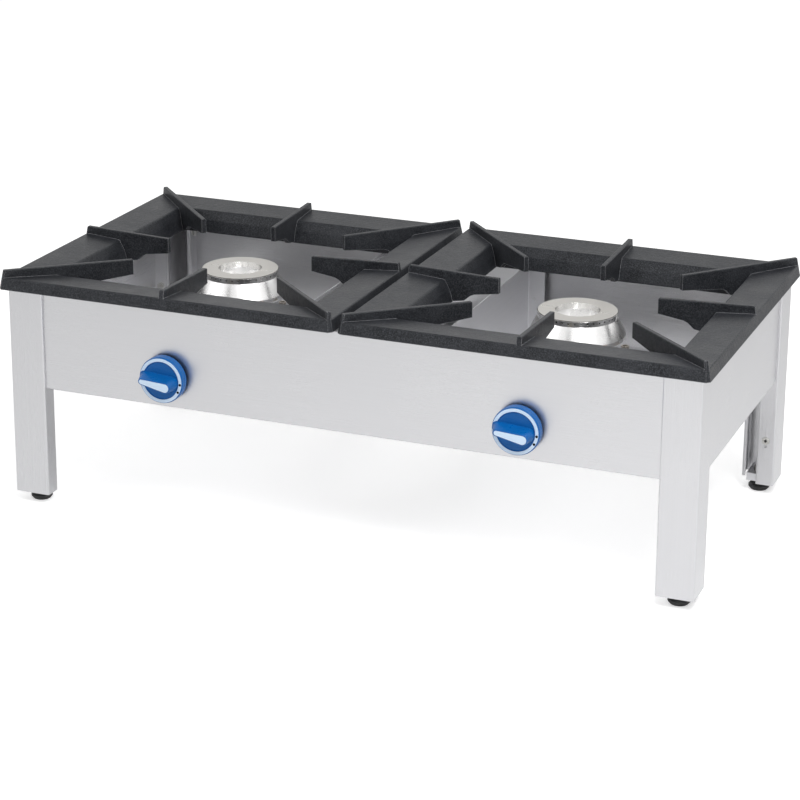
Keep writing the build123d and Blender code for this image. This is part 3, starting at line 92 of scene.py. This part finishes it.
# ---------------------------------------------------------------- shader helpers
class Finish:
    """A material, with short calls that add and link its nodes."""

    def __init__(self, name, colour, metallic, roughness, specular=0.5):
        self.material = bpy.data.materials.new(name)
        self.material.use_nodes = True
        self.tree = self.material.node_tree
        self.shader = self.tree.nodes["Principled BSDF"]
        self.shader.inputs["Base Color"].default_value = (*colour, 1.0)
        self.shader.inputs["Metallic"].default_value = metallic
        self.shader.inputs["Roughness"].default_value = roughness
        self.shader.inputs["Specular IOR Level"].default_value = specular
        self.place = self.add("ShaderNodeTexCoord").outputs["Object"]

    def add(self, kind, **settings):
        node = self.tree.nodes.new(kind)
        for key, value in settings.items():
            setattr(node, key, value)
        return node

    def link(self, output, socket):
        self.tree.links.new(output, socket)

    def scaled(self, source, scale):
        """The place, scaled by one factor for each axis."""
        node = self.add("ShaderNodeMapping")
        node.inputs["Scale"].default_value = scale
        self.link(source, node.inputs["Vector"])
        return node.outputs["Vector"]

    def split(self, vector):
        """The vector's parts, by the names X, Y and Z."""
        node = self.add("ShaderNodeSeparateXYZ")
        self.link(vector, node.inputs["Vector"])
        return node.outputs

    def noise(self, vector, scale, detail=3.0, roughness=0.55):
        node = self.add("ShaderNodeTexNoise")
        node.inputs["Scale"].default_value = scale
        node.inputs["Detail"].default_value = detail
        node.inputs["Roughness"].default_value = roughness
        self.link(vector, node.inputs["Vector"])
        return node.outputs["Fac"]

    def remap(self, value, low, high, to_low, to_high):
        node = self.add("ShaderNodeMapRange", clamp=True)
        limits = {"From Min": low, "From Max": high, "To Min": to_low, "To Max": to_high}
        for socket, number in limits.items():
            node.inputs[socket].default_value = number
        self.link(value, node.inputs["Value"])
        return node.outputs["Result"]

    def math(self, operation, first, second=0.0):
        node = self.add("ShaderNodeMath", operation=operation)
        for socket, value in zip(node.inputs, (first, second)):
            if isinstance(value, (int, float)):
                socket.default_value = value
            else:
                self.link(value, socket)
        return node.outputs["Value"]

    def times(self, first, second):
        return self.math("MULTIPLY", first, second)

    def blend(self, factor, first, second):
        """Mixes two colours; each is a colour or another node's output."""
        node = self.add("ShaderNodeMix", data_type="RGBA")
        self.link(factor, node.inputs["Factor"])
        for socket, value in ((MIX_FIRST, first), (MIX_SECOND, second)):
            if isinstance(value, tuple):
                node.inputs[socket].default_value = (*value, 1.0)
            else:
                self.link(value, node.inputs[socket])
        return node.outputs[MIX_RESULT]

    def colour(self, output):
        self.link(output, self.shader.inputs["Base Color"])

    def roughness(self, output):
        self.link(output, self.shader.inputs["Roughness"])

    def bump(self, heights, edge):
        """Bumps one on the other, from (height, distance) pairs, over edges rounded by a radius."""
        rounded = self.add("ShaderNodeBevel", samples=4)
        rounded.inputs["Radius"].default_value = edge
        normal = rounded.outputs["Normal"]
        for height, distance in heights:
            node = self.add("ShaderNodeBump")
            node.inputs["Distance"].default_value = distance
            self.link(height, node.inputs["Height"])
            self.link(normal, node.inputs["Normal"])
            normal = node.outputs["Normal"]
        self.link(normal, self.shader.inputs["Normal"])

    def edges(self, radius, low, high):
        """1 on outer and inner edges, 0 on flat stretches."""
        rounded = self.add("ShaderNodeBevel", samples=6)
        rounded.inputs["Radius"].default_value = radius
        flat = self.add("ShaderNodeNewGeometry").outputs["True Normal"]
        dot = self.add("ShaderNodeVectorMath", operation="DOT_PRODUCT")
        self.link(rounded.outputs["Normal"], dot.inputs[0])
        self.link(flat, dot.inputs[1])
        return self.remap(dot.outputs["Value"], 1.0 - low, 1.0 - high, 0.0, 1.0)

    def facing(self, axis):
        """The part of the surface's normal along one axis, from -1 to 1."""
        normal = self.add("ShaderNodeNewGeometry").outputs["True Normal"]
        return self.split(normal)[axis]

    def burner_radius(self):
        """Distance from the nearer burner's axis."""
        parts = self.split(self.place)
        off = self.math("SUBTRACT", self.math("ABSOLUTE", parts["X"]), BURNER_X)
        squared = self.math("ADD", self.times(off, off), self.times(parts["Y"], parts["Y"]))
        return self.math("SQRT", squared)


def scaled_colour(colour, factor):
    return tuple(min(1.0, value * factor) for value in colour)


# ---------------------------------------------------------------- finishes
def brushed_sheet(name, colour, grain, roughness, tint=0.012):
    """Sheet steel with fine grain along one axis and faint smudges."""
    finish = Finish(name, colour, 1.0, roughness)
    scale = [ALONG_GRAIN if axis == grain else ACROSS_GRAIN for axis in "XYZ"]
    lines = finish.noise(finish.scaled(finish.place, scale), 1.0, 2.0, 0.6)
    wide = finish.scaled(finish.place, [value * COARSE_GRAIN for value in scale])
    coarse = finish.noise(wide, 1.0, 2.0)
    clouds = finish.noise(finish.place, 5.5, 3.0)
    dark, light = scaled_colour(colour, 1 - 2 * tint), scaled_colour(colour, 1 + tint)
    shade = finish.math("ADD", finish.times(lines, 0.5), finish.times(coarse, 0.5))
    finish.colour(finish.blend(finish.remap(shade, 0.3, 0.7, 0.0, 1.0), dark, light))
    smudged = finish.remap(clouds, 0.3, 0.7, roughness - 0.02, roughness + 0.03)
    finish.roughness(finish.math("ADD", finish.remap(lines, 0.3, 0.7, -0.04, 0.04), smudged))
    finish.bump([(lines, 0.000004)], edge=0.0005)
    return finish.material


def cast_iron():
    """Enamelled casting: grained, duller and shinier in patches, rubbed lighter along its edges."""
    finish = Finish("cast_iron", (0.010, 0.011, 0.014), 0.0, 0.40, 0.22)
    grain = finish.noise(finish.place, 620.0, 4.0, 0.65)
    swell = finish.noise(finish.place, 140.0, 3.0)
    patches = finish.noise(finish.place, 22.0, 5.0, 0.65)
    patched = finish.remap(patches, 0.35, 0.65, 0.0, 1.0)
    body = finish.blend(patched, (0.007, 0.008, 0.010), (0.020, 0.0215, 0.025))
    speck = finish.blend(finish.remap(grain, 0.45, 0.7, 0.0, 0.8), body, (0.075, 0.079, 0.088))
    uneven = finish.remap(swell, 0.3, 0.6, 0.45, 1.0)
    rubbed = finish.times(finish.edges(0.0015, 0.02, 0.16), uneven)
    finish.colour(finish.blend(rubbed, speck, (0.30, 0.305, 0.32)))
    finish.roughness(finish.remap(patches, 0.3, 0.7, 0.34, 0.48))
    finish.bump([(grain, 0.0002), (swell, 0.0005)], edge=0.0008)
    return finish.material


def burner_metal(name, colour, smooth, face_colour, turned, face_low, wall=None):
    """Nickel plated casting: polished flanks and recesses, faces above a height turned on a lathe.
    A wall, given by its inner and outer radius, has its port holes painted dark: soot, and painted
    shade inside the holes."""
    finish = Finish(name, colour, 1.0, smooth)
    radius = finish.burner_radius()
    rings = finish.add("ShaderNodeTexNoise", noise_dimensions="1D")
    rings.inputs["Scale"].default_value = LATHE_RINGS
    rings.inputs["Detail"].default_value = 2.0
    finish.link(radius, rings.inputs["W"])
    height = finish.split(finish.place)["Z"]
    level = finish.remap(finish.facing("Z"), 0.7, 0.9, 0.0, 1.0)
    top = finish.times(level, finish.remap(height, face_low, face_low + 0.0003, 0.0, 1.0))
    grain = finish.noise(finish.place, 700.0, 3.0)
    stains = finish.noise(finish.place, 30.0, 3.0)
    stained = finish.remap(stains, 0.35, 0.7, 0.0, 0.6)
    metal = finish.blend(stained, colour, scaled_colour(colour, 0.88))
    metal = finish.blend(top, metal, face_colour)
    if wall:
        inner, outer = wall
        inside = finish.times(finish.remap(radius, inner, inner + 0.0002, 0.0, 1.0),
                              finish.remap(radius, outer - 0.0003, outer - 0.0001, 1.0, 0.0))
        # the port holes' walls are painted dark: soot, and painted shade where the holes lie in
        # shadow
        port = finish.times(inside, finish.math("SUBTRACT", 1.0, top))
        metal = finish.blend(port, metal, SOOT_AND_SHADE)
    finish.colour(metal)
    uneven = finish.remap(stains, 0.3, 0.7, smooth * 0.8, smooth * 1.3)
    finish.roughness(finish.math("ADD", finish.times(top, turned - smooth), uneven))
    turning = finish.times(rings.outputs["Fac"], top)
    finish.bump([(turning, 0.00004), (grain, 0.00002)], edge=0.0005)
    return finish.material


def glossy_plastic(name, colour, roughness, specular):
    """Moulded plastic with a faint orange peel and fine scuffs."""
    finish = Finish(name, colour, 0.0, roughness, specular)
    peel = finish.noise(finish.place, 350.0, 2.0)
    scuffs = finish.noise(finish.scaled(finish.place, (60.0, 60.0, 900.0)), 1.0, 4.0, 0.7)
    scuffed = finish.remap(scuffs, 0.4, 0.75, 0.0, 1.0)
    finish.colour(finish.blend(scuffed, colour, scaled_colour(colour, 0.86)))
    finish.roughness(finish.remap(scuffs, 0.35, 0.75, roughness, roughness + 0.14))
    finish.bump([(peel, 0.00003)], edge=0.0005)
    return finish.material


def turned_metal(name, colour, roughness, stain):
    """Machined or drawn metal with light tarnish."""
    finish = Finish(name, colour, 1.0, roughness)
    tarnish = finish.noise(finish.place, 60.0, 5.0, 0.65)
    fine = finish.noise(finish.place, 1500.0, 2.0)
    finish.colour(finish.blend(finish.remap(tarnish, 0.4, 0.75, 0.0, 0.8), colour, stain))
    finish.roughness(finish.remap(tarnish, 0.3, 0.7, roughness, roughness + 0.15))
    finish.bump([(fine, 0.00002)], edge=0.0004)
    return finish.material


def dull_plastic(name, colour):
    """Black moulded glide with a sparked texture and dust in it."""
    finish = Finish(name, colour, 0.0, 0.5)
    spark = finish.noise(finish.place, 1100.0, 3.0)
    dust = finish.noise(finish.place, 90.0, 4.0)
    finish.colour(finish.blend(finish.remap(dust, 0.5, 0.8, 0.0, 0.35), colour, DUST))
    finish.roughness(finish.remap(dust, 0.3, 0.7, 0.42, 0.6))
    finish.bump([(spark, 0.00008)], edge=0.0006)
    return finish.material


STEEL = (0.64, 0.64, 0.655)
# rougher inner sheet, its colour lightened above the outer steel as painted light for the shaded
# parts inside
LIGHTENED_INNER_STEEL = (0.70, 0.70, 0.72)
NICKEL, NICKEL_FACE = (0.90, 0.895, 0.88), (0.62, 0.605, 0.575)
CASTING, CASTING_FACE = (0.93, 0.925, 0.92), (0.86, 0.855, 0.85)
finishes = {
    "sheet_x": brushed_sheet("brushed_sheet_x", STEEL, "X", 0.30),
    "sheet_y": brushed_sheet("brushed_sheet_y", STEEL, "Y", 0.30),
    "sheet_z": brushed_sheet("brushed_sheet_z", STEEL, "Z", 0.30),
    "inner_x": brushed_sheet("inner_sheet_x", LIGHTENED_INNER_STEEL, "X", 0.46, 0.02),
    "inner_y": brushed_sheet("inner_sheet_y", LIGHTENED_INNER_STEEL, "Y", 0.46, 0.02),
    "tray": brushed_sheet("tray_sheet", (0.86, 0.86, 0.87), "X", 0.68, 0.02),
    "iron": cast_iron(),
    "cap": burner_metal("burner_nickel", NICKEL, 0.14, NICKEL_FACE, 0.50,
                        CAP_TOP - CAP_FACE_DEPTH, CAP_WALL),
    "bowl": burner_metal("burner_casting", CASTING, 0.26, CASTING_FACE, 0.38, 0.0),
    "knob": glossy_plastic("blue_plastic", (0.001, 0.105, 0.36), 0.26, 0.28),
    "inlay": glossy_plastic("pale_inlay", (0.62, 0.76, 0.92), 0.40, 0.3),
    "mark": glossy_plastic("dark_mark", (0.005, 0.005, 0.008), 0.5, 0.2),
    "glide": dull_plastic("black_glide", (0.022, 0.022, 0.024)),
    "zinc": turned_metal("zinc_plate", (0.62, 0.62, 0.60), 0.30, (0.42, 0.41, 0.38)),
    "shutter": turned_metal("shutter_steel", (0.58, 0.58, 0.56), 0.32, (0.40, 0.38, 0.34)),
    "pilot": turned_metal("pilot_steel", (0.50, 0.47, 0.43), 0.35, (0.30, 0.24, 0.20)),
    "copper": turned_metal("drawn_copper", (0.72, 0.40, 0.26), 0.26, (0.42, 0.22, 0.14)),
    "aluminium": turned_metal("aluminium_tube", (0.70, 0.70, 0.71), 0.30, (0.52, 0.52, 0.53)),
    "pipe": turned_metal("galvanised_pipe", (0.50, 0.51, 0.52), 0.40, (0.36, 0.37, 0.38)),
    "brass": turned_metal("machined_brass", (0.72, 0.56, 0.28), 0.26, (0.45, 0.33, 0.16)),
    "spindle": turned_metal("spindle_steel", (0.56, 0.56, 0.57), 0.28, (0.38, 0.36, 0.34)),
}

SLOT_FINISH = {
    "tray_sheet": "tray", "zinc_fastener": "zinc", "cast_iron_enamel": "iron",
    "burner_nickel": "cap", "burner_casting": "bowl", "shutter_steel": "shutter",
    "pilot_steel": "pilot", "copper": "copper", "aluminium_tube": "aluminium",
    "gas_pipe_steel": "pipe", "copper_pipe": "copper", "tap_brass": "brass",
    "spindle_steel": "spindle", "knob_blue": "knob", "knob_inlay": "inlay", "foot_black": "glide",
}
GRAIN = {
    "front_panel": "sheet_x", "rear_panel": "sheet_x",
    "left_side_panel": "sheet_y", "right_side_panel": "sheet_y",
    "centre_beam": "inner_y", "foot_brackets": "inner_x",
    "left_baffle": "inner_y", "right_baffle": "inner_y",
    "left_burner_bracket": "inner_x", "right_burner_bracket": "inner_x",
    "left_tray_runners": "inner_y", "right_tray_runners": "inner_y",
}


def finish_of(node, slot):
    if node.endswith("_leg"):
        return finishes["sheet_z"]
    return finishes[GRAIN.get(node) or SLOT_FINISH[slot]]


for part in frame["record"]["subparts"]:
    mesh = frame["nodes"][part["node"]].data
    mesh.materials.clear()
    mesh.materials.append(finish_of(part["node"], part["material_slot"]))


# ---------------------------------------------------------------- pieces
def around(centre, radius, forward):
    """Points of a circle in the plane of the front, moved forward of its centre."""
    turns = [math.tau * step / DOT_SIDES for step in range(DOT_SIDES)]
    return [centre + Vector((radius * math.cos(turn), -forward, radius * math.sin(turn)))
            for turn in turns]


def dot(name, knob_x, angle, body):
    """A low domed dot printed on a knob's ring."""
    turn = math.radians(angle)
    centre = Vector((knob_x + RING_RADIUS * math.cos(turn), RING_FACE_Y,
                     KNOB_AXIS_Z + RING_RADIUS * math.sin(turn)))
    form = bmesh.new()
    rings = []
    for reach, rise in DOT_PROFILE:
        points = around(centre, DOT_RADIUS * reach, DOT_HEIGHT * rise)
        rings.append([form.verts.new(point) for point in points])
    for lower, upper in zip(rings, rings[1:]):
        for index in range(DOT_SIDES):
            after = (index + 1) % DOT_SIDES
            form.faces.new((lower[index], lower[after], upper[after], upper[index]))
    form.faces.new(rings[-1])
    form.faces.new(list(reversed(rings[0])))
    bmesh.ops.recalc_face_normals(form, faces=form.faces)
    mesh = bpy.data.meshes.new(name)
    form.to_mesh(mesh)
    form.free()
    mesh.polygons.foreach_set("use_smooth", [True] * len(mesh.polygons))
    mesh.materials.append(finishes["mark"])
    piece = bpy.data.objects.new(name, mesh)
    bpy.context.scene.collection.objects.link(piece)
    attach(piece, body)


for side, sign in (("left", -1), ("right", 1)):
    for number, angle in enumerate(DOT_ANGLES, 1):
        dot(f"{side}_knob_dot_{number}", sign * BURNER_X, angle, f"{side}_knob_body")


# ---------------------------------------------------------------- setting
def daylight():
    """A white surround for the camera and for reflections, and a plain soft light on everything."""
    world = bpy.data.worlds.new("surround")
    bpy.context.scene.world = world
    world.use_nodes = True
    nodes, links = world.node_tree.nodes, world.node_tree.links
    nodes.clear()
    ray = nodes.new("ShaderNodeLightPath")
    seen = nodes.new("ShaderNodeMath")
    seen.operation = "MAXIMUM"
    links.new(ray.outputs["Is Camera Ray"], seen.inputs[0])
    links.new(ray.outputs["Is Transmission Ray"], seen.inputs[1])
    direction = nodes.new("ShaderNodeTexCoord")
    parts = nodes.new("ShaderNodeSeparateXYZ")
    links.new(direction.outputs["Generated"], parts.inputs["Vector"])
    height = nodes.new("ShaderNodeMapRange")
    for socket, number in zip(("From Min", "From Max", "To Min", "To Max"), SKY_MIRRORED):
        height.inputs[socket].default_value = number
    links.new(parts.outputs["Z"], height.inputs["Value"])
    mirrored = nodes.new("ShaderNodeMix")
    mirrored.inputs["A"].default_value = SKY_ON_OBJECT
    links.new(ray.outputs["Is Glossy Ray"], mirrored.inputs["Factor"])
    links.new(height.outputs["Result"], mirrored.inputs["B"])
    strength = nodes.new("ShaderNodeMix")
    strength.inputs["B"].default_value = 1.0
    links.new(seen.outputs["Value"], strength.inputs["Factor"])
    links.new(mirrored.outputs["Result"], strength.inputs["A"])
    background = nodes.new("ShaderNodeBackground")
    background.inputs["Color"].default_value = (1.0, 1.0, 1.0, 1.0)
    links.new(strength.outputs["Result"], background.inputs["Strength"])
    output = nodes.new("ShaderNodeOutputWorld")
    links.new(background.outputs["Background"], output.inputs["Surface"])


def floor():
    """A pale floor that stays white but for the object's shadow."""
    mesh = bpy.data.meshes.new("floor")
    signs = ((-1, -1), (1, -1), (1, 1), (-1, 1))
    corners = [(x * FLOOR_REACH, y * FLOOR_REACH, 0) for x, y in signs]
    mesh.from_pydata(corners, [], [(0, 1, 2, 3)])
    plane = bpy.data.objects.new("floor", mesh)
    bpy.context.scene.collection.objects.link(plane)
    material = bpy.data.materials.new("pale_floor")
    material.use_nodes = True
    nodes, links = material.node_tree.nodes, material.node_tree.links
    nodes.clear()
    ray = nodes.new("ShaderNodeLightPath")
    mirrored = nodes.new("ShaderNodeMath")
    mirrored.operation = "MULTIPLY"
    links.new(ray.outputs["Is Glossy Ray"], mirrored.inputs[0])
    mirrored.inputs[1].default_value = FLOOR_MIRRORED
    lift = nodes.new("ShaderNodeMath")
    lift.operation = "MULTIPLY_ADD"
    links.new(ray.outputs["Is Camera Ray"], lift.inputs[0])
    lift.inputs[1].default_value = FLOOR_SEEN
    links.new(mirrored.outputs["Value"], lift.inputs[2])
    matt = nodes.new("ShaderNodeBsdfDiffuse")
    matt.inputs["Color"].default_value = FLOOR_COLOUR
    glow = nodes.new("ShaderNodeEmission")
    links.new(lift.outputs["Value"], glow.inputs["Strength"])
    both = nodes.new("ShaderNodeAddShader")
    links.new(matt.outputs["BSDF"], both.inputs[0])
    links.new(glow.outputs["Emission"], both.inputs[1])
    output = nodes.new("ShaderNodeOutputMaterial")
    links.new(both.outputs["Shader"], output.inputs["Surface"])
    mesh.materials.append(material)


def softbox(name, azimuth, elevation, distance, size, power):
    """A square lamp that looks at the object, with angles in degrees and azimuth from the front to
    the right."""
    lamp = bpy.data.lights.new(name, "AREA")
    lamp.shape = "SQUARE"
    lamp.size = size
    lamp.energy = power
    holder = bpy.data.objects.new(name, lamp)
    bpy.context.scene.collection.objects.link(holder)
    turn, lift = math.radians(azimuth), math.radians(elevation)
    level = math.cos(lift)
    away = Vector((math.sin(turn) * level, -math.cos(turn) * level, math.sin(lift)))
    holder.location = away * distance + Vector((0, 0, LAMP_AIM_HEIGHT))
    holder.rotation_mode = "QUATERNION"
    holder.rotation_quaternion = (-away).to_track_quat("-Z", "Y")


def camera():
    """The camera, at the photograph's viewing angle."""
    cosine, sine = math.cos(CAMERA_ELEVATION), math.sin(CAMERA_ELEVATION)
    back = Vector((math.sin(CAMERA_AZIMUTH) * cosine, -math.cos(CAMERA_AZIMUTH) * cosine, sine))
    right = (-back).cross(Vector((0, 0, 1))).normalized()
    up = right.cross(-back)
    turn_cos, turn_sin = math.cos(CAMERA_ROLL), math.sin(CAMERA_ROLL)
    side = turn_cos * right + turn_sin * up
    top = turn_cos * up - turn_sin * right
    data = bpy.data.cameras.new("camera")
    data.sensor_width = SENSOR
    data.lens = FOCAL_PIXELS / IMAGE * SENSOR
    data.shift_x = -CENTRE_RIGHT / IMAGE
    data.shift_y = CENTRE_DOWN / IMAGE
    data.clip_end = CAMERA_CLIP
    holder = bpy.data.objects.new("camera", data)
    bpy.context.scene.collection.objects.link(holder)
    axes = Matrix((side, top, back)).transposed().to_4x4()
    holder.matrix_world = Matrix.Translation(CAMERA_TARGET + back * CAMERA_DISTANCE) @ axes
    bpy.context.scene.camera = holder


daylight()
floor()
softbox("key", azimuth=46.0, elevation=50.0, distance=2.4, size=1.2, power=40.0)
softbox("fill", azimuth=-55.0, elevation=35.0, distance=3.5, size=2.0, power=14.0)
camera()
bpy.context.scene.view_settings.view_transform = "Standard"
